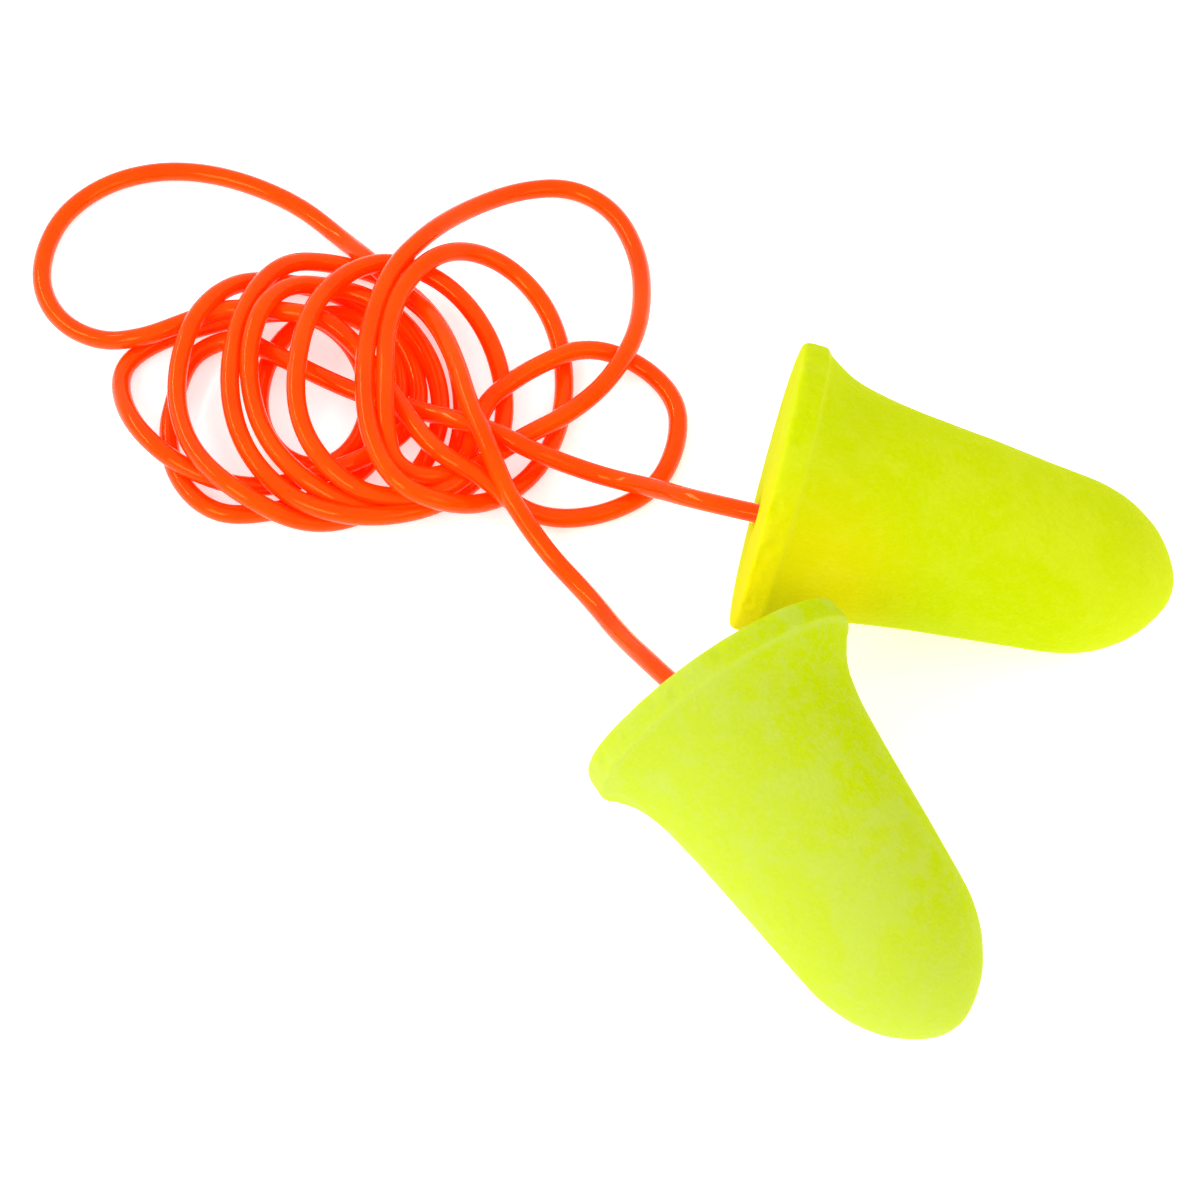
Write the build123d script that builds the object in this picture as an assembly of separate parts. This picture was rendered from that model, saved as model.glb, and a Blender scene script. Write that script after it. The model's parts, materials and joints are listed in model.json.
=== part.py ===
from build123d import *
import math
import os

# Corded foam ear plugs, in millimetres: two bell-shaped foam plugs lying on a table,
# joined by one thin vinyl cord that lies beside them in a loose coil.
# Origin: on the table, under the middle of the two plugs. +Z is up.

# Foam plug, measured along its axis from the flat base to the domed tip
PLUG_LENGTH = 24.0
BASE_RADIUS = 7.65          # flat of the base, inside its rounded edge
RIM_RADIUS = 8.45
RIM_EDGE = 0.9              # length of the rounded edge
RIM_END = 1.9               # where the rim turns into the flare
FLARE = [(2.7, 7.85), (4.2, 6.95), (6.4, 6.42), (12.0, 5.8)]
STEM_END = 18.0             # where the dome starts
STEM_RADIUS = 5.15
DOME = [(21.2, 3.95), (23.3, 1.75)]
REST_TILT = 11.5            # a plug lies on its rim and its stem, tip down
BASE_HEIGHT = 8.66          # the middle of the base above the table

# The cord and how it is held in each plug
CORD_DIAMETER = 1.15
EXIT_DROP = 3.0             # the cord leaves the base this far below its middle
BORE_RADIUS = 0.8
BORE_DEPTH = 10.0
MOUTH_RADIUS = 1.05         # round mouth of the bore, where the cord bends freely
CORD_END_START = 1.25       # the fixed end of the cord starts this deep
CORD_END_DEPTH = 9.4

# Where each plug lies: middle of its base in plan, and the way its tip points
PLUGS = {
    "rear": {"base": (-6.4, 12.4), "yaw": -10.0},
    "front": {"base": (-10.3, -0.7), "yaw": -55.0},
}

# Free stretches of the cord: hand-chosen points of its route outside the coil.
# Each stretch starts or ends a little inside the coil's solid.
REAR_LEAD = [
    (-10.4, 13.8, 4.5),
    (-13.1, 16.1, 2.5),
    (-15.6, 17.8, 1.3),
    (-18.3, 18.7, 2.0),
    (-20.6, 19.0, 3.1),
    (-22.6, 19.9, 3.3),
]
FRONT_LEAD = [
    (-13.0, 3.0, 4.1),
    (-15.0, 6.5, 1.9),
    (-17.0, 9.9, 0.7),
    (-19.3, 12.6, 1.1),
    (-21.2, 15.2, 2.8),
    (-22.5, 18.0, 4.4),
]
LEFT_LOOP = [
    (-39.2, 29.8, 1.5),
    (-41.3, 28.5, 2.0),
    (-43.6, 27.5, 1.9),
    (-46.2, 27.8, 1.0),
    (-48.7, 29.4, 0.6),
    (-50.1, 31.9, 0.6),
    (-50.1, 34.8, 0.6),
    (-49.0, 37.7, 0.6),
    (-46.6, 39.9, 0.6),
    (-43.6, 41.0, 0.6),
    (-40.5, 41.0, 0.6),
    (-37.4, 40.1, 0.6),
    (-34.3, 38.4, 0.6),
    (-31.6, 35.8, 0.7),
    (-29.8, 32.6, 1.5),
    (-28.7, 30.8, 2.4),
]
REAR_LOOP = [
    (-22.6, 19.8, 1.8),
    (-20.6, 20.4, 2.0),
    (-18.2, 21.8, 2.0),
    (-15.9, 23.9, 2.1),
    (-14.2, 26.9, 2.2),
    (-13.4, 30.5, 1.4),
    (-13.6, 34.5, 0.7),
    (-15.1, 38.1, 0.6),
    (-17.9, 39.9, 0.7),
    (-21.1, 39.2, 1.2),
    (-24.3, 36.6, 2.5),
    (-26.7, 33.6, 4.1),
    (-28.0, 31.0, 5.2),
]
MIDDLE_LOOP = [
    (-22.7, 16.6, 0.6),
    (-20.7, 17.8, 0.6),
    (-19.1, 20.3, 0.6),
    (-18.3, 23.6, 0.6),
    (-18.4, 27.5, 0.6),
    (-19.2, 31.0, 0.7),
    (-21.1, 33.3, 1.5),
    (-23.7, 33.7, 2.9),
    (-26.0, 32.1, 4.2),
    (-26.9, 30.6, 4.9),
]
RIGHT_LOOP = [
    (-22.7, 23.5, 2.1),
    (-20.0, 25.6, 2.1),
    (-17.2, 27.4, 1.8),
    (-13.9, 26.9, 0.7),
    (-11.6, 24.0, 0.6),
    (-11.3, 21.0, 0.6),
    (-12.7, 17.6, 0.6),
    (-15.6, 15.6, 0.6),
    (-18.6, 15.1, 0.6),
    (-21.0, 15.6, 1.4),
    (-22.8, 16.9, 2.6),
]

# Outer shape of the coil: its outline on the table and its side profile
COIL_OUTLINE = [
    (-45.0, 25.2),
    (-43.6, 19.6),
    (-40.0, 15.4),
    (-34.0, 13.8),
    (-27.0, 14.2),
    (-21.8, 16.2),
    (-21.1, 21.4),
    (-22.4, 28.4),
    (-26.3, 32.0),
    (-33.1, 32.6),
    (-40.0, 30.2),
    (-43.8, 28.0),
]
COIL_PROFILE = [
    (-45.5, 0.0),
    (-45.5, 1.3),
    (-42.0, 3.8),
    (-36.0, 6.2),
    (-29.0, 7.0),
    (-23.5, 6.0),
    (-20.5, 3.4),
    (-20.5, 0.0),
]


def save(shape, node):
    export_step(shape, f"parts/{node}.step")


def plug_frame(place):
    """Plane at the middle of a plug's base: z points out of the base, y up along its face."""
    yaw = math.radians(place["yaw"])
    tilt = math.radians(REST_TILT)
    x, y = place["base"]
    out = Vector(-math.cos(yaw) * math.cos(tilt), -math.sin(yaw) * math.cos(tilt), math.sin(tilt))
    side = Vector(math.sin(yaw), -math.cos(yaw), 0)
    return Plane(origin=(x, y, BASE_HEIGHT), x_dir=side, z_dir=out)


def foam_plug():
    """A plug about -Z, its base at z = 0 and its tip at z = -PLUG_LENGTH."""
    rim_corner = (RIM_RADIUS - 0.05, -RIM_EDGE)
    rim_end = (RIM_RADIUS, -RIM_END)
    stem_end = (STEM_RADIUS, -STEM_END)
    tip = (0, -PLUG_LENGTH)
    flare = [(radius, -along) for along, radius in FLARE]
    dome = [(radius, -along) for along, radius in DOME]
    base = Line((0, 0), (BASE_RADIUS, 0))
    edge = TangentArc((BASE_RADIUS, 0), rim_corner, tangent=(1, 0))
    rim = Line(rim_corner, rim_end)
    stem = Spline(rim_end, *flare, stem_end)
    nose = Spline(stem_end, *dome, tip, tangents=(stem % 1, Vector(-1, 0)))
    axis_line = Line(tip, (0, 0))
    outline = make_face(base + edge + rim + stem + nose + axis_line)
    return revolve(Plane.XZ * outline, Axis.Z)


def bore_place(depth=0.0):
    """The bore's axis, at a depth below the base."""
    return Location((0, -EXIT_DROP, -depth))


def cord_end():
    length = CORD_END_DEPTH - CORD_END_START
    rod = Cylinder(CORD_DIAMETER / 2, length, align=(Align.CENTER, Align.CENTER, Align.MAX))
    return bore_place(CORD_END_START) * rod


def bore():
    hole = Cylinder(BORE_RADIUS, BORE_DEPTH, align=(Align.CENTER, Align.CENTER, Align.MAX))
    return bore_place() * hole + bore_place() * Sphere(MOUTH_RADIUS)


def adhesive():
    """Glue that fills the bore around the cord's fixed end."""
    length = BORE_DEPTH - CORD_END_START
    plug = Cylinder(BORE_RADIUS, length, align=(Align.CENTER, Align.CENTER, Align.MAX))
    return bore_place(CORD_END_START) * plug - cord_end()


def corner_radii(points):
    """The largest arc that each corner's two runs allow."""
    points = [Vector(*point) for point in points]
    radii = []
    for before, corner, after in zip(points, points[1:], points[2:]):
        run_in = corner - before
        run_out = after - corner
        half_turn = math.radians(run_in.get_angle(run_out)) / 2
        shorter = min(run_in.length, run_out.length)
        radii.append(0.45 * shorter / math.tan(half_turn))
    return radii


def cord_tube(points, name):
    """The cord along one free stretch: straight runs joined by tangent arcs."""
    radii = corner_radii(points)
    path = FilletPolyline(*points, radius=radii)
    section = Plane(origin=path @ 0, z_dir=path % 0) * Circle(CORD_DIAMETER / 2)
    tube = sweep(section, path=path)
    section_area = math.pi * (CORD_DIAMETER / 2) ** 2
    fill = tube.volume / (section_area * path.length)
    print(f"{name}: length {path.length:.1f}, radii", [round(r, 1) for r in radii], f"volume ratio {fill:.3f}")
    return tube


def lead(points, place, name):
    """A stretch from a plug's mouth, where it ends in a half ball, to the coil."""
    mouth = (plug_frame(place).location * bore_place()).position
    tube = cord_tube([tuple(mouth)] + points, name)
    return tube + Pos(*mouth) * Sphere(CORD_DIAMETER / 2)


def coil():
    """Outer shape of the coil's leaning turns, from the table up."""
    tall = max(height for _, height in COIL_PROFILE)
    outline = make_face(Spline(*COIL_OUTLINE, periodic=True))
    slab = extrude(outline, tall)
    profile = Plane.XZ * make_face(Polyline(*COIL_PROFILE, close=True))
    wedge = extrude(profile, 60, dir=(0, 1, 0))
    return slab & wedge


os.makedirs("parts", exist_ok=True)

for side, place in PLUGS.items():
    frame = plug_frame(place).location
    save(frame * (foam_plug() - bore()), f"{side}_foam_plug")
    save(frame * adhesive(), f"{side}_adhesive")
    save(frame * cord_end(), f"{side}_cord_end")

save(lead(REAR_LEAD, PLUGS["rear"], "rear lead"), "cord_rear_lead")
save(lead(FRONT_LEAD, PLUGS["front"], "front lead"), "cord_front_lead")
save(cord_tube(LEFT_LOOP, "left loop"), "cord_left_loop")
save(cord_tube(REAR_LOOP, "rear loop"), "cord_rear_loop")
save(cord_tube(MIDDLE_LOOP, "middle loop"), "cord_middle_loop")
save(cord_tube(RIGHT_LOOP, "right loop"), "cord_right_loop")
save(coil(), "cord_coil")
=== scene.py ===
import json
import math
import bmesh
import bpy
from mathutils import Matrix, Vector, noise


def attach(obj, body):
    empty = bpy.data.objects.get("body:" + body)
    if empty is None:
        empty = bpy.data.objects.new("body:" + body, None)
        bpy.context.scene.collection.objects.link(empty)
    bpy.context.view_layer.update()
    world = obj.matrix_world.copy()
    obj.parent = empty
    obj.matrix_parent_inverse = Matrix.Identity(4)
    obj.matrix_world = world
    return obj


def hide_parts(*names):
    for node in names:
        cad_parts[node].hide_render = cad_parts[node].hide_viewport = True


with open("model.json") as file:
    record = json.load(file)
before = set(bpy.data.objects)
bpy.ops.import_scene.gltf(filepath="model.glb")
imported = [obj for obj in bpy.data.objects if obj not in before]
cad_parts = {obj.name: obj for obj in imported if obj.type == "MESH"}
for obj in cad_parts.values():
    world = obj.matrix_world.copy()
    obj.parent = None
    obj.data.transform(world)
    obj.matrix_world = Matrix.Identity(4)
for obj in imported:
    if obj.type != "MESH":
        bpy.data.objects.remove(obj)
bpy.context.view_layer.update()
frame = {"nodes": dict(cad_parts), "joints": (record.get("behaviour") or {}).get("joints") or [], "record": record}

MM = 0.001

# The cord, in millimetres
CORD_DIAMETER = 1.15
CORD_START = 1.3            # the free cord starts and ends this deep in a plug
EXIT_DROP = 3.0             # it leaves a plug's base this far below its middle

# The cord's route from the rear plug to the front plug, in millimetres
REAR_LEAD = [
    (-10.4, 14.0, 4.7),
    (-13.1, 16.3, 2.6),
    (-15.6, 17.8, 1.3),
    (-18.3, 18.4, 2.0),
    (-20.6, 18.8, 3.1),
    (-22.6, 19.9, 3.3),
]
# Into the coil from its right side, across its middle to its left side
INTO_COIL = [
    (-24.7, 20.9, 2.9),
    (-26.2, 21.8, 2.2),
    (-27.8, 22.6, 1.8),
    (-29.4, 23.1, 1.8),
    (-31.1, 23.8, 1.8),
    (-32.8, 24.7, 1.8),
    (-34.5, 25.7, 1.8),
    (-36.2, 26.7, 1.7),
    (-37.3, 27.7, 1.3),
    (-38.5, 28.0, 1.0),
    (-39.6, 27.8, 0.7),
    (-40.6, 27.1, 0.6),
    (-41.2, 25.9, 0.6),
    (-41.6, 24.1, 0.6),
]
# The coil's turns: the left, front, right and back ends of each, and the heights
# of its twelve points from the left end round by the front
COIL_TURNS = [
    ((-41.8, 21.6), (-37.4, 15.7), (-28.2, 23.9), (-32.3, 30.1),
     (0.6, 0.6, 0.6, 0.6, 0.6, 0.6, 0.6, 0.6, 0.6, 0.6, 0.6, 0.6)),
    ((-36.6, 24.0), (-33.1, 19.1), (-30.0, 23.9), (-35.0, 29.6),
     (0.6, 0.6, 0.6, 0.6, 0.6, 0.6, 0.6, 1.0, 1.4, 1.7, 0.8, 0.6)),
    ((-44.9, 25.4), (-36.6, 17.4), (-27.0, 23.7), (-35.6, 32.4),
     (0.6, 1.8, 1.6, 0.8, 1.8, 1.5, 0.6, 0.6, 0.6, 0.6, 2.1, 2.9)),
    ((-41.4, 23.7), (-33.4, 14.9), (-25.7, 23.1), (-33.3, 31.2),
     (2.0, 2.4, 2.7, 0.8, 0.7, 0.9, 0.6, 1.0, 1.9, 1.9, 3.0, 3.9)),
    ((-37.1, 24.5), (-28.8, 15.3), (-24.4, 23.5), (-32.6, 33.7),
     (2.8, 2.6, 2.4, 1.4, 0.8, 0.6, 0.6, 0.6, 0.7, 0.7, 2.6, 3.2)),
    ((-38.2, 23.8), (-30.1, 14.6), (-21.9, 23.0), (-28.8, 32.2),
     (2.8, 2.4, 2.1, 2.2, 1.6, 0.6, 0.6, 1.4, 2.3, 3.1, 3.5, 4.3)),
]
TURN_SWELL = 1.03           # the spline cuts inside its points by this much
OUT_OF_COIL = [
    (-34.3, 23.0, 4.2),
    (-33.9, 20.1, 3.6),
    (-32.5, 17.6, 3.3),
    (-30.3, 15.9, 2.7),
    (-27.8, 15.8, 2.2),
    (-25.4, 16.3, 2.0),
    (-23.4, 18.2, 2.1),
]
REAR_LOOP = [
    (-20.6, 20.4, 2.0),
    (-18.2, 21.8, 2.0),
    (-15.9, 23.9, 2.1),
    (-14.2, 26.9, 2.2),
    (-13.6, 30.4, 1.4),
    (-13.8, 34.3, 0.7),
    (-15.2, 37.8, 0.6),
    (-17.9, 39.6, 0.7),
    (-21.1, 39.0, 1.2),
    (-24.3, 36.6, 2.5),
    (-26.7, 33.6, 4.1),
]
# Round the outside of the coil's right end
OUTER_BEND = [
    (-28.9, 30.5, 4.4),
    (-30.0, 26.3, 4.4),
    (-30.2, 22.4, 4.4),
    (-29.7, 18.5, 4.3),
    (-28.1, 15.6, 4.0),
    (-25.5, 14.9, 3.1),
    (-23.0, 15.9, 1.3),
]
MIDDLE_LOOP = [
    (-20.7, 17.8, 0.6),
    (-19.1, 20.3, 0.6),
    (-18.3, 23.6, 0.6),
    (-18.4, 27.2, 0.6),
    (-19.4, 30.6, 0.7),
    (-21.4, 32.8, 1.5),
    (-23.8, 33.3, 2.8),
    (-26.0, 32.1, 4.2),
]
INNER_BEND = [
    (-28.0, 29.7, 4.4),
    (-28.9, 26.4, 4.3),
    (-28.9, 23.5, 4.3),
    (-28.9, 20.9, 4.2),
    (-28.7, 19.0, 3.8),
    (-28.4, 17.8, 3.4),
    (-27.5, 17.1, 3.0),
    (-26.2, 17.0, 2.6),
    (-24.9, 17.7, 2.2),
    (-24.0, 18.8, 1.9),
    (-23.7, 20.3, 1.8),
    (-23.4, 21.7, 1.8),
    (-22.9, 22.9, 1.8),
    (-22.0, 23.9, 1.9),
]
RIGHT_LOOP = [
    (-19.9, 25.4, 2.1),
    (-17.1, 27.0, 1.8),
    (-13.9, 26.6, 0.7),
    (-11.6, 24.0, 0.6),
    (-11.5, 20.9, 0.6),
    (-12.8, 17.6, 0.6),
    (-15.6, 15.8, 0.6),
    (-18.6, 15.3, 0.6),
    (-21.0, 15.6, 1.4),
    (-22.8, 16.9, 2.6),
]
# Back through the coil to its left side
ACROSS_COIL = [
    (-25.2, 17.9, 3.3),
    (-26.5, 19.3, 3.2),
    (-27.7, 21.3, 3.0),
    (-28.9, 23.4, 2.9),
    (-30.1, 25.7, 2.2),
    (-31.3, 27.3, 2.3),
    (-32.8, 28.3, 2.9),
    (-34.8, 28.8, 2.8),
    (-36.9, 29.4, 2.2),
    (-38.8, 29.6, 1.9),
    (-40.1, 29.2, 1.8),
]
LEFT_LOOP = [
    (-41.3, 28.5, 2.0),
    (-43.6, 27.5, 1.9),
    (-46.2, 27.8, 1.0),
    (-48.7, 29.4, 0.6),
    (-50.1, 31.9, 0.6),
    (-50.1, 34.8, 0.6),
    (-49.0, 37.7, 0.6),
    (-46.6, 39.9, 0.6),
    (-43.6, 40.9, 0.6),
    (-40.5, 40.8, 0.6),
    (-37.4, 39.8, 0.6),
    (-34.4, 38.1, 0.6),
    (-31.8, 35.5, 0.7),
]
OVER_COIL = [
    (-30.1, 33.1, 2.0),
    (-27.9, 30.3, 2.4),
    (-26.1, 27.9, 3.4),
    (-24.8, 24.6, 4.0),
    (-23.9, 21.0, 4.3),
    (-22.9, 18.6, 4.2),
    (-21.9, 16.2, 3.3),
]
FRONT_LEAD = [
    (-21.3, 15.1, 2.8),
    (-19.3, 12.7, 1.1),
    (-16.8, 9.9, 0.7),
    (-15.0, 6.5, 1.9),
    (-13.0, 3.0, 4.1),
]

# Profile of a plug, in millimetres: distance from the base along the axis, radius
RIM = [
    (0.5, 8.12),
    (0.56, 8.3),
    (0.7, 8.41),
    (1.0, 8.46),
    (1.5, 8.48),
    (1.85, 8.49),
    (2.0, 8.42),
]
FLARE = [
    (2.18, 8.2),
    (2.7, 7.80),
    (3.4, 7.32),
    (4.2, 6.95),
    (5.2, 6.66),
    (6.4, 6.42),
    (9.0, 6.09),
    (12.0, 5.8),
]
STEM = [
    (15.0, 5.48),
    (18.0, 5.15),
]
DOME = [
    (19.2, 4.88),
    (20.3, 4.47),
    (21.2, 3.97),
    (22.1, 3.32),
    (22.9, 2.48),
    (23.5, 1.62),
    (23.87, 0.82),
    (24.0, 0.0),
]
BASE_INSET, BASE_RADIUS = RIM[0]        # the flat of the base, a little inside the cord's mouth
RIM_END = RIM[-1][0]
PLUG_LENGTH = DOME[-1][0]
DIMPLE_DEPTH = 1.0          # the mouth's dimple in the base
DIMPLE_RADIUS = 0.861       # where it is half as deep
DIMPLE_REACH = 2.31         # where it ends

# Unevenness of the foam, in millimetres: size of the noise and how far it moves the skin
WAVE_SIZE, WAVE_HEIGHT = 7.0, 0.10
GRAIN_SIZE, GRAIN_HEIGHT = 1.6, 0.025
RIM_WAVE_SIZE, RIM_WAVE_HEIGHT = 5.0, 0.16
NICK_SIZE, NICK_DEPTH = 1.1, 0.4
NICK_LEVEL = 0.22           # only noise above this level makes a nick in the rim
RIM_MIDDLE = 0.9            # rim waves and nicks are deepest here, and gone 2 mm away
CALM_RADIUS = 2.0           # nearer the axis than this, the skin is calmer
NOISE_SEEDS = {"rear": (3.1, 5.7, 1.3), "front": (11.9, 2.2, 8.4)}

# How finely a plug is divided
BASE_RINGS = 44
PROFILE_STEPS = 7
ROUND_STEPS = 256

# The rear plug's rim, pressed out of square: how far out, and its slant across and up
REAR_RIM_REACH = 0.8
REAR_RIM_SLANT = (-0.028, 0.042)
RIM_SHARE_END = 6.5         # past this distance from the base the plug is itself again

# Colours
REAR_BODY = (0.505, 0.605, 0.0, 1.0)
REAR_PALE = (0.56, 0.64, 0.02, 1.0)
FRONT_BODY = (0.455, 0.575, 0.0, 1.0)
FRONT_PALE = (0.46, 0.56, 0.085, 1.0)
# painted bounce light: the orange-yellow painted where light from the cord falls, which also lifts the shade
# beside the front plug
PAINTED_BOUNCE_YELLOW = (0.80, 0.58, 0.0, 1.0)
# painted glow of the foam, which lifts its shaded parts
FOAM_PAINTED_GLOW = (0.9, 1.0, 0.0, 1.0)
CORD_DEEP = (1.0, 0.05, 0.0, 1.0)
CORD_LIGHT = (1.0, 0.07, 0.0, 1.0)
# painted glow of the cord, which lifts the shade between its strands
CORD_PAINTED_GLOW = (1.0, 0.008, 0.0, 1.0)
CORD_SHINE = (1.0, 0.75, 0.15, 1.0)
GLUE_DARK = (0.75, 0.72, 0.50, 1.0)
GLUE_LIGHT = (0.88, 0.86, 0.68, 1.0)
WHITE = (1.0, 1.0, 1.0, 1.0)
FLOOR_WHITE = (0.96, 0.96, 0.96, 1.0)

# Pale mottling of the foam: noise scale, detail and roughness, the noise levels between which
# it comes in, and its share
CLOUDS = (0.3, 3.0, 0.6, 0.48, 0.62, 0.8)
PATCHES = (0.9, 6.0, 0.75, 0.50, 0.64, 0.7)
SPECKS = (3.0, 4.0, 0.7, 0.52, 0.66, 0.8)

# Pale places, a painted sheen and painted bounce light from the cord, in a plug's own axes: across, up, along
# Painted sheen: the side of a plug that faces the key light is painted paler
PAINTED_SHEEN_SIDE = (3.0, -5.0)     # across, from none to full
PALE_NOSE = (17.0, 23.0)    # along, from none to full
PALE_NOSE_SHARE = 0.35
CREASE = (1.85, 2.05, 2.35)             # along: start, palest and end of the line behind the rim
CREASE_SHARE = 0.5
# Painted bounce light from the cord on the rear plug's base, which also lifts the shade beside the front plug: its
# middle and its size
PAINTED_BOUNCE_MIDDLE = (-7.0, 0.5, 1.5)
PAINTED_BOUNCE_SIZE = (10.0, 2.0)     # distance from its middle, from none to full

# The view: the camera looks along +Y from above, from far away
CAMERA_TARGET = (-16.2, 7.65, 4.0)
CAMERA_ELEVATION = 58.0
CAMERA_DISTANCE = 300.0
CAMERA_LENS = 156.3

# Soft boxes: place from the camera's target, width and height in millimetres, power in watts
LIGHTS = {
    "key": ((-240, -270, 290), 200, 200, 0.55),
    "fill": ((260, -240, 260), 260, 260, 0.28),
    "strip": ((-300, 90, 240), 320, 40, 0.36),
}
WORLD_STRENGTH = 0.88
FLOOR_SIZE = 4.0            # metres


def quarter_turn(start, end, side_first):
    """The start and two more points, in plan, of a quarter ellipse between two ends of a turn."""
    centre = Vector((end[0], start[1])) if side_first else Vector((start[0], end[1]))
    from_reach = Vector(start) - centre
    to_reach = Vector(end) - centre
    points = [Vector(start)]
    for degrees in (30, 60):
        angle = math.radians(degrees)
        points.append(centre + from_reach * math.cos(angle) + to_reach * math.sin(angle))
    return points


def coil_turns():
    """Twelve points for each turn: round by the front to its right end, and back by the rear."""
    points = []
    next_lefts = [turn[0] for turn in COIL_TURNS[1:]] + [OUT_OF_COIL[0][:2]]
    for (left, front, right, back, heights), next_left in zip(COIL_TURNS, next_lefts):
        middle = Vector(((left[0] + right[0]) / 2, (front[1] + back[1]) / 2))
        plan = quarter_turn(left, front, True) + quarter_turn(front, right, False)
        plan += quarter_turn(right, back, True) + quarter_turn(back, next_left, False)
        for place, height in zip(plan, heights):
            place = middle + (place - middle) * TURN_SWELL
            points.append((place.x, place.y, height))
    return points


def mouth(side):
    """Where the cord leaves a plug, in millimetres: the plug's swivel turns about it."""
    joint = next(j for j in frame["joints"] if j["child"] == f"{side}_plug")
    return Vector(joint["pos_m"]) / MM


def tip_direction(side):
    """The way a plug's tip points."""
    mount = next(m for m in frame["record"]["mounts"] if m["name"] == f"{side}_ear_canal")
    return Vector(mount["axis"]).normalized()


def cord_route():
    """The route's points in metres, from inside the rear plug to inside the front plug."""
    rear = mouth("rear")
    front = mouth("front")
    route = [rear + tip_direction("rear") * CORD_START]
    route += REAR_LEAD + INTO_COIL + coil_turns() + OUT_OF_COIL
    route += REAR_LOOP + OUTER_BEND + MIDDLE_LOOP + INNER_BEND + RIGHT_LOOP
    route += ACROSS_COIL + LEFT_LOOP + OVER_COIL + FRONT_LEAD
    route += [front + tip_direction("front") * CORD_START]
    return [Vector(point) * MM for point in route]


def make_cord(material):
    curve = bpy.data.curves.new("cord", "CURVE")
    curve.dimensions = "3D"
    curve.bevel_depth = CORD_DIAMETER / 2 * MM
    curve.bevel_resolution = 6
    curve.resolution_u = 8
    curve.use_fill_caps = True
    spline = curve.splines.new("NURBS")
    route = cord_route()
    spline.points.add(len(route) - 1)
    for control, point in zip(spline.points, route):
        control.co = (*point, 1.0)
    spline.order_u = 3
    spline.use_endpoint_u = True
    curve.materials.append(material)
    cord = bpy.data.objects.new("cord", curve)
    bpy.context.scene.collection.objects.link(cord)
    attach(cord, "cord")
    cord_nodes = [node for node in frame["nodes"] if node.startswith("cord_")]
    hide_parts(*cord_nodes)


def smooth_line(points, steps):
    """Points on a smooth line through the given ones."""
    line = []
    knots = [Vector(point) for point in [points[0]] + points + [points[-1]]]
    for before, start, end, after in zip(knots, knots[1:], knots[2:], knots[3:]):
        span = (end - start).length
        slope_in = (end - before).normalized() * span
        slope_out = (after - start).normalized() * span
        for step in range(steps):
            t = step / steps
            line.append(
                start * (2 * t**3 - 3 * t**2 + 1)
                + slope_in * (t**3 - 2 * t**2 + t)
                + end * (3 * t**2 - 2 * t**3)
                + slope_out * (t**3 - t**2)
            )
    return line


def plug_profile():
    """The whole profile, from near the middle of the base to the tip."""
    base = [Vector((BASE_INSET, BASE_RADIUS * ring / BASE_RINGS)) for ring in range(1, BASE_RINGS)]
    side = smooth_line(RIM + FLARE + STEM + DOME, PROFILE_STEPS)
    return base + side


def foam_surface(point, seed):
    """A point of the smooth plug, moved a little as real foam is."""
    x, y, along = point
    radius = math.hypot(x, y)
    outward = Vector((x, y, 0)) / max(radius, 0.001)
    wave = noise.noise(point / WAVE_SIZE + seed) * WAVE_HEIGHT
    grain = noise.noise(point / GRAIN_SIZE + seed) * GRAIN_HEIGHT
    edge = math.exp(-(along - RIM_MIDDLE) ** 2) * min(1.0, radius / BASE_RADIUS) ** 12
    rim_wave = noise.noise(Vector((x, y, 0)) / RIM_WAVE_SIZE - seed) * RIM_WAVE_HEIGHT * edge
    nick = max(0.0, noise.noise(point / NICK_SIZE - seed) - NICK_LEVEL) * NICK_DEPTH * edge
    calm = min(1.0, radius / CALM_RADIUS)
    moved = point + outward * (wave + grain + rim_wave - nick) * calm
    mouth_distance = math.hypot(x, y + EXIT_DROP)
    if along <= BASE_INSET and mouth_distance < DIMPLE_REACH:
        moved.z += DIMPLE_DEPTH / (1.0 + (mouth_distance / DIMPLE_RADIUS) ** 8)
    return moved


def plug_rings(seed):
    """Rings of points from the middle of the base to the tip; x is level, y up, z to the tip."""
    rings = [[foam_surface(Vector((0.0, 0.0, BASE_INSET)), seed)]]
    for along, radius in plug_profile():
        ring = []
        for step in range(ROUND_STEPS):
            angle = 2 * math.pi * step / ROUND_STEPS
            point = Vector((radius * math.cos(angle), radius * math.sin(angle), along))
            ring.append(foam_surface(point, seed))
        rings.append(ring)
    rings.append([foam_surface(Vector((0.0, 0.0, PLUG_LENGTH)), seed)])
    return rings


def rim_share(along):
    """How much a point moves with the rim: fully at the rim, not at all past the flare."""
    share = min(1.0, max(0.0, (RIM_SHARE_END - along) / (RIM_SHARE_END - RIM_END)))
    return share * share * (3 - 2 * share)


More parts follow.
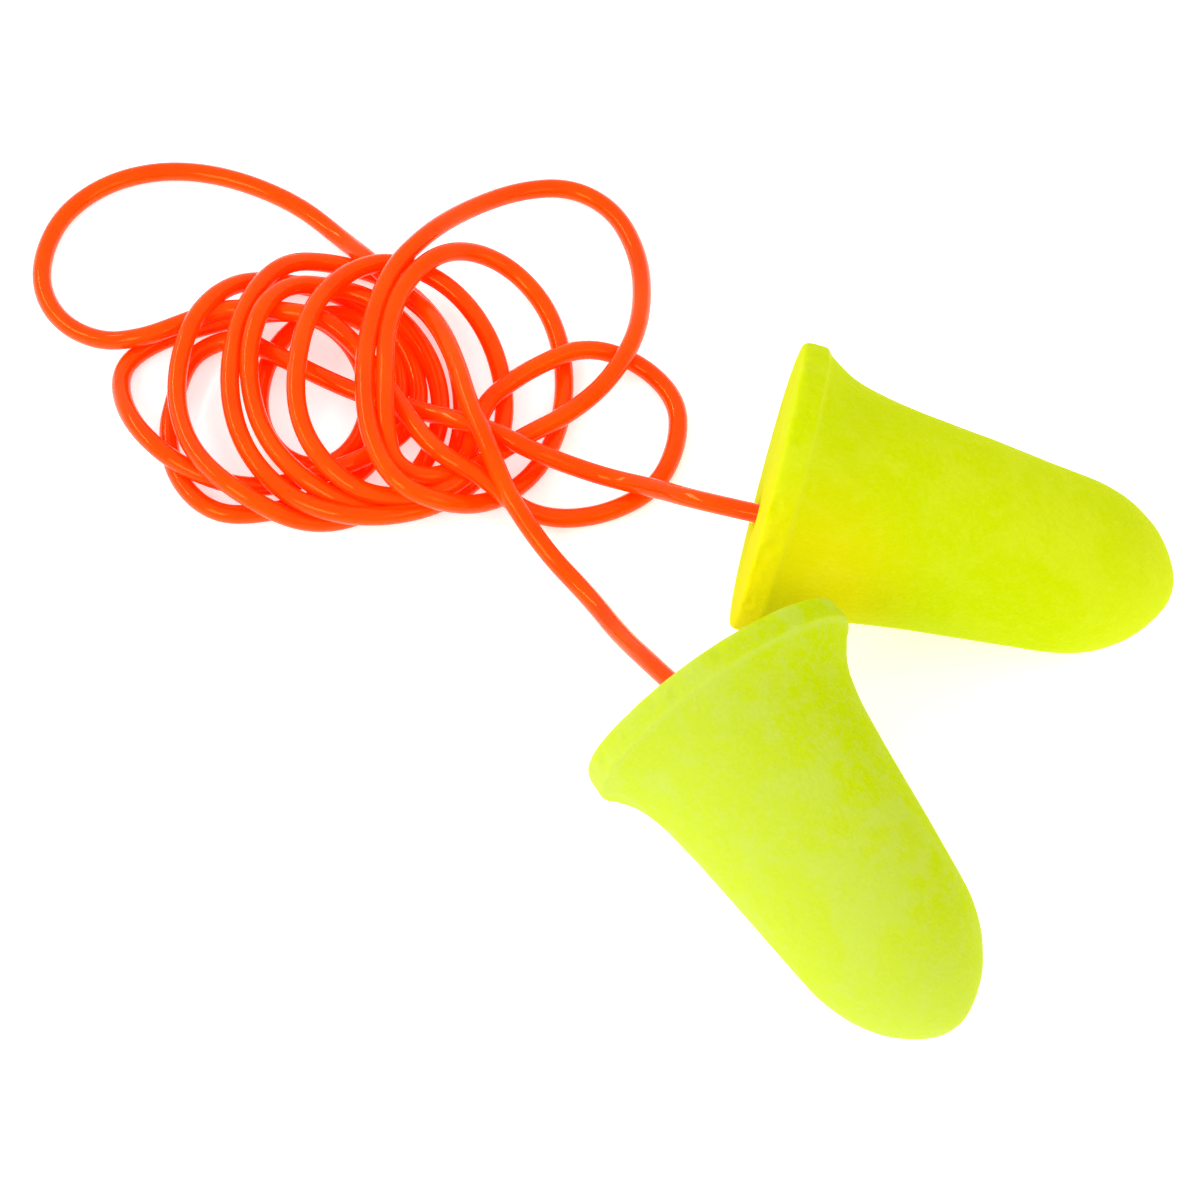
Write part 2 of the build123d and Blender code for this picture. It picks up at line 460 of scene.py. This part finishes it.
def make_plug(side, material, rim_reach=0.0, rim_slant=(0.0, 0.0)):
    """A foam plug; each vertex also keeps its place in the plug's own axes, for the material."""
    tip = tip_direction(side)
    level = Vector((0, 0, 1)).cross(tip).normalized()
    up = tip.cross(level)
    middle = mouth(side) + up * EXIT_DROP
    seed = Vector(NOISE_SEEDS[side])
    places = []
    bm = bmesh.new()
    rings = []
    for points in plug_rings(seed):
        ring = []
        for point in points:
            places.append(point)
            reach = rim_reach + rim_slant[0] * point.x + rim_slant[1] * point.y
            along = point.z - reach * rim_share(point.z)
            where = middle + level * point.x + up * point.y + tip * along
            where.z = max(where.z, 0.0)
            ring.append(bm.verts.new(where * MM))
        rings.append(ring)
    base_middle, tip_vertex = rings[0][0], rings[-1][0]
    rounds = rings[1:-1]
    for step in range(ROUND_STEPS):
        following = (step + 1) % ROUND_STEPS
        bm.faces.new((base_middle, rounds[0][following], rounds[0][step]))
        bm.faces.new((tip_vertex, rounds[-1][step], rounds[-1][following]))
        for ring, after in zip(rounds, rounds[1:]):
            bm.faces.new((ring[step], ring[following], after[following], after[step]))
    for face in bm.faces:
        face.smooth = True
    mesh = bpy.data.meshes.new(f"{side}_foam")
    bm.to_mesh(mesh)
    bm.free()
    own_place = mesh.attributes.new("place", "FLOAT_VECTOR", "POINT")
    for stored, place in zip(own_place.data, places):
        stored.vector = place
    mesh.materials.append(material)
    plug = bpy.data.objects.new(f"{side}_foam", mesh)
    bpy.context.scene.collection.objects.link(plug)
    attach(plug, f"{side}_plug")
    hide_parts(f"{side}_foam_plug")


def new_material(name):
    material = bpy.data.materials.new(name)
    material.use_nodes = True
    return material, material.node_tree.nodes, material.node_tree.links


def noise_node(nodes, links, coordinates, scale, detail=4.0, roughness=0.5):
    node = nodes.new("ShaderNodeTexNoise")
    node.inputs["Scale"].default_value = scale
    node.inputs["Detail"].default_value = detail
    node.inputs["Roughness"].default_value = roughness
    links.new(coordinates, node.inputs["Vector"])
    return node


def ramp_node(nodes, links, value, stops):
    """Colours at the stops, blended between them by the value."""
    node = nodes.new("ShaderNodeValToRGB")
    ramp = node.color_ramp
    while len(ramp.elements) < len(stops):
        ramp.elements.new(0.5)
    for element, (position, colour) in zip(ramp.elements, stops):
        element.position = position
        element.color = colour
    links.new(value, node.inputs["Fac"])
    return node


def grey(level):
    return (level, level, level, 1.0)


def mix_node(nodes, links, factor, colour_a, colour_b):
    """The second colour over the first by a factor; each may be a value or a socket."""
    node = nodes.new("ShaderNodeMix")
    node.data_type = "RGBA"
    for socket, value in (("Factor_Float", factor), ("A_Color", colour_a), ("B_Color", colour_b)):
        target = next(i for i in node.inputs if i.identifier == socket)
        if isinstance(value, (tuple, float)):
            target.default_value = value
        else:
            links.new(value, target)
    return next(o for o in node.outputs if o.identifier == "Result_Color")


def bump_node(nodes, links, height, strength, distance, normal=None):
    node = nodes.new("ShaderNodeBump")
    node.inputs["Strength"].default_value = strength
    node.inputs["Distance"].default_value = distance
    links.new(height, node.inputs["Height"])
    if normal is not None:
        links.new(normal, node.inputs["Normal"])
    return node.outputs["Normal"]


def range_node(nodes, links, value, start, end, amount):
    """Nothing at the start value, the whole amount at the end value."""
    node = nodes.new("ShaderNodeMapRange")
    node.interpolation_type = "SMOOTHSTEP"
    links.new(value, node.inputs["Value"])
    node.inputs["From Min"].default_value = start
    node.inputs["From Max"].default_value = end
    node.inputs["To Max"].default_value = amount
    return node.outputs["Result"]


def mottled(nodes, links, place, colour, pale, pattern, amount):
    """The colour, turned paler where a noise is high."""
    scale, detail, roughness, start, end, share = pattern
    mottling = noise_node(nodes, links, place, scale, detail, roughness)
    stops = [(start, grey(0.0)), (end, grey(share * amount))]
    strength = ramp_node(nodes, links, mottling.outputs["Fac"], stops)
    return mix_node(nodes, links, strength.outputs["Color"], colour, pale)


def crease_line(nodes, links, along):
    """A fine line round the plug, where its rim turns into the flare."""
    start = range_node(nodes, links, along, CREASE[0], CREASE[1], CREASE_SHARE)
    end = range_node(nodes, links, along, CREASE[1], CREASE[2], CREASE_SHARE)
    crease = nodes.new("ShaderNodeMath")
    crease.operation = "SUBTRACT"
    links.new(start, crease.inputs[0])
    links.new(end, crease.inputs[1])
    return crease.outputs["Value"]


def painted_bounce_spot(nodes, links, place, amount):
    """A round patch of painted bounce light that fades out from its middle."""
    distance = nodes.new("ShaderNodeVectorMath")
    distance.operation = "DISTANCE"
    distance.inputs[1].default_value = PAINTED_BOUNCE_MIDDLE
    links.new(place, distance.inputs[0])
    return range_node(nodes, links, distance.outputs["Value"], *PAINTED_BOUNCE_SIZE, amount)


def foam_material(name, body, pale, mottle, painted_sheen_share=0.0, painted_bounce_share=0.0):
    """Fluorescent foam: pores, pale mottling, a paler nose, a fine pale line behind the rim, a painted sheen on
    one side, painted bounce light from the cord and a faint painted glow that lifts its shade.
    """
    material, nodes, links = new_material(name)
    shader = nodes["Principled BSDF"]
    stored = nodes.new("ShaderNodeAttribute")
    stored.attribute_name = "place"
    place = stored.outputs["Vector"]
    split = nodes.new("ShaderNodeSeparateXYZ")
    links.new(place, split.inputs["Vector"])
    across, along = split.outputs["X"], split.outputs["Z"]
    # Painted sheen: the side facing the key light is turned paler
    side = range_node(nodes, links, across, *PAINTED_SHEEN_SIDE, painted_sheen_share)
    nose = range_node(nodes, links, along, *PALE_NOSE, PALE_NOSE_SHARE)
    colour = mix_node(nodes, links, side, body, pale)
    colour = mottled(nodes, links, place, colour, pale, CLOUDS, mottle)
    colour = mottled(nodes, links, place, colour, pale, PATCHES, mottle)
    colour = mix_node(nodes, links, nose, colour, pale)
    colour = mottled(nodes, links, place, colour, pale, SPECKS, mottle)
    colour = mix_node(nodes, links, crease_line(nodes, links, along), colour, pale)
    # Painted bounce light from the cord, which also lifts the shade beside the front plug
    if painted_bounce_share:
        painted_bounce_mask = painted_bounce_spot(nodes, links, place, painted_bounce_share)
        colour = mix_node(nodes, links, painted_bounce_mask, colour, PAINTED_BOUNCE_YELLOW)
    links.new(colour, shader.inputs["Base Color"])
    pores = nodes.new("ShaderNodeTexVoronoi")
    pores.inputs["Scale"].default_value = 3.2
    links.new(place, pores.inputs["Vector"])
    grain = noise_node(nodes, links, place, 0.9, 4.0, 0.6)
    normal = bump_node(nodes, links, pores.outputs["Distance"], 0.3, 0.15 * MM)
    normal = bump_node(nodes, links, grain.outputs["Fac"], 0.35, 0.2 * MM, normal)
    links.new(normal, shader.inputs["Normal"])
    shader.inputs["Roughness"].default_value = 0.85
    shader.inputs["Specular IOR Level"].default_value = 0.04
    # A painted glow: faint emission that lifts the foam's shaded parts
    shader.inputs["Emission Color"].default_value = FOAM_PAINTED_GLOW
    shader.inputs["Emission Strength"].default_value = 0.09
    shader.inputs["Subsurface Weight"].default_value = 0.25
    shader.inputs["Subsurface Radius"].default_value = (0.9, 1.0, 0.2)
    shader.inputs["Subsurface Scale"].default_value = 2.0 * MM
    return material


def cord_material(name):
    """Glossy, slightly see-through fluorescent orange vinyl, with a faint painted glow that lifts the shade
    between its strands.
    """
    material, nodes, links = new_material(name)
    shader = nodes["Principled BSDF"]
    place = nodes.new("ShaderNodeTexCoord").outputs["Object"]
    tone = noise_node(nodes, links, place, 300.0, 2.0)
    colour = ramp_node(nodes, links, tone.outputs["Fac"], [(0.3, CORD_DEEP), (0.7, CORD_LIGHT)])
    links.new(colour.outputs["Color"], shader.inputs["Base Color"])
    ripple = noise_node(nodes, links, place, 700.0, 2.0)
    normal = bump_node(nodes, links, ripple.outputs["Fac"], 0.05, 0.1 * MM)
    links.new(normal, shader.inputs["Normal"])
    gloss = ramp_node(nodes, links, ripple.outputs["Fac"], [(0.3, grey(0.07)), (0.8, grey(0.13))])
    links.new(gloss.outputs["Color"], shader.inputs["Roughness"])
    shader.inputs["Specular IOR Level"].default_value = 0.375
    shader.inputs["Specular Tint"].default_value = CORD_SHINE
    # A painted glow: faint emission that lifts the shade between the cord's strands
    shader.inputs["Emission Color"].default_value = CORD_PAINTED_GLOW
    shader.inputs["Emission Strength"].default_value = 0.14
    shader.inputs["Subsurface Weight"].default_value = 0.2
    shader.inputs["Subsurface Radius"].default_value = (1.0, 0.25, 0.02)
    shader.inputs["Subsurface Scale"].default_value = 0.5 * MM
    return material


def glue_material(name):
    """Slightly cloudy, cream-coloured glue."""
    material, nodes, links = new_material(name)
    shader = nodes["Principled BSDF"]
    place = nodes.new("ShaderNodeTexCoord").outputs["Object"]
    cloud = noise_node(nodes, links, place, 900.0, 3.0)
    colour = ramp_node(nodes, links, cloud.outputs["Fac"], [(0.3, GLUE_DARK), (0.7, GLUE_LIGHT)])
    links.new(colour.outputs["Color"], shader.inputs["Base Color"])
    normal = bump_node(nodes, links, cloud.outputs["Fac"], 0.2, 0.1 * MM)
    links.new(normal, shader.inputs["Normal"])
    shader.inputs["Roughness"].default_value = 0.3
    return material


def repaint(node, material):
    """A carried-over CAD node gets a material of its own."""
    slots = frame["nodes"][node].data.materials
    slots.clear()
    slots.append(material)


def make_floor():
    """A faintly lit white floor, as plain as the backdrop."""
    bpy.ops.mesh.primitive_plane_add(size=FLOOR_SIZE)
    floor = bpy.context.object
    floor.name = "floor"
    material, nodes, links = new_material("floor")
    shader = nodes["Principled BSDF"]
    shader.inputs["Base Color"].default_value = FLOOR_WHITE
    shader.inputs["Roughness"].default_value = 0.9
    shader.inputs["Emission Color"].default_value = WHITE
    shader.inputs["Emission Strength"].default_value = 0.5
    floor.data.materials.append(material)


def add_light(name, place, width, height, power):
    """A soft box aimed at the camera's target."""
    light = bpy.data.lights.new(name, "AREA")
    light.shape = "RECTANGLE"
    light.size = width * MM
    light.size_y = height * MM
    light.energy = power
    lamp = bpy.data.objects.new(name, light)
    target = Vector(CAMERA_TARGET) * MM
    lamp.location = target + Vector(place) * MM
    lamp.rotation_euler = (target - lamp.location).to_track_quat("-Z", "Y").to_euler()
    bpy.context.scene.collection.objects.link(lamp)


def make_lights():
    world = bpy.data.worlds.new("studio")
    world.use_nodes = True
    background = world.node_tree.nodes["Background"]
    background.inputs["Color"].default_value = WHITE
    background.inputs["Strength"].default_value = WORLD_STRENGTH
    bpy.context.scene.world = world
    for name, (place, width, height, power) in LIGHTS.items():
        add_light(name, place, width, height, power)


def make_camera():
    data = bpy.data.cameras.new("camera")
    data.lens = CAMERA_LENS
    data.clip_start = 0.01
    camera = bpy.data.objects.new("camera", data)
    elevation = math.radians(CAMERA_ELEVATION)
    back = Vector((0, -math.cos(elevation), math.sin(elevation)))
    camera.location = (Vector(CAMERA_TARGET) + back * CAMERA_DISTANCE) * MM
    camera.rotation_mode = "QUATERNION"
    camera.rotation_quaternion = (-back).to_track_quat("-Z", "Y")
    bpy.context.scene.collection.objects.link(camera)
    bpy.context.scene.camera = camera


make_camera()
make_cord(cord_material("cord_vinyl"))
# The rear plug gets painted bounce light from the cord at its base
rear_foam = foam_material("rear_foam", REAR_BODY, REAR_PALE, mottle=0.5, painted_bounce_share=0.6)
# The front plug gets a painted sheen down the side facing the key light
front_foam = foam_material("front_foam", FRONT_BODY, FRONT_PALE, mottle=0.65, painted_sheen_share=0.35)
make_plug("rear", rear_foam, REAR_RIM_REACH, REAR_RIM_SLANT)
make_plug("front", front_foam)
for side in ("rear", "front"):
    repaint(f"{side}_adhesive", glue_material(f"{side}_glue"))
    repaint(f"{side}_cord_end", cord_material(f"{side}_cord_end"))
make_floor()
make_lights()
bpy.context.scene.view_settings.view_transform = "Standard"
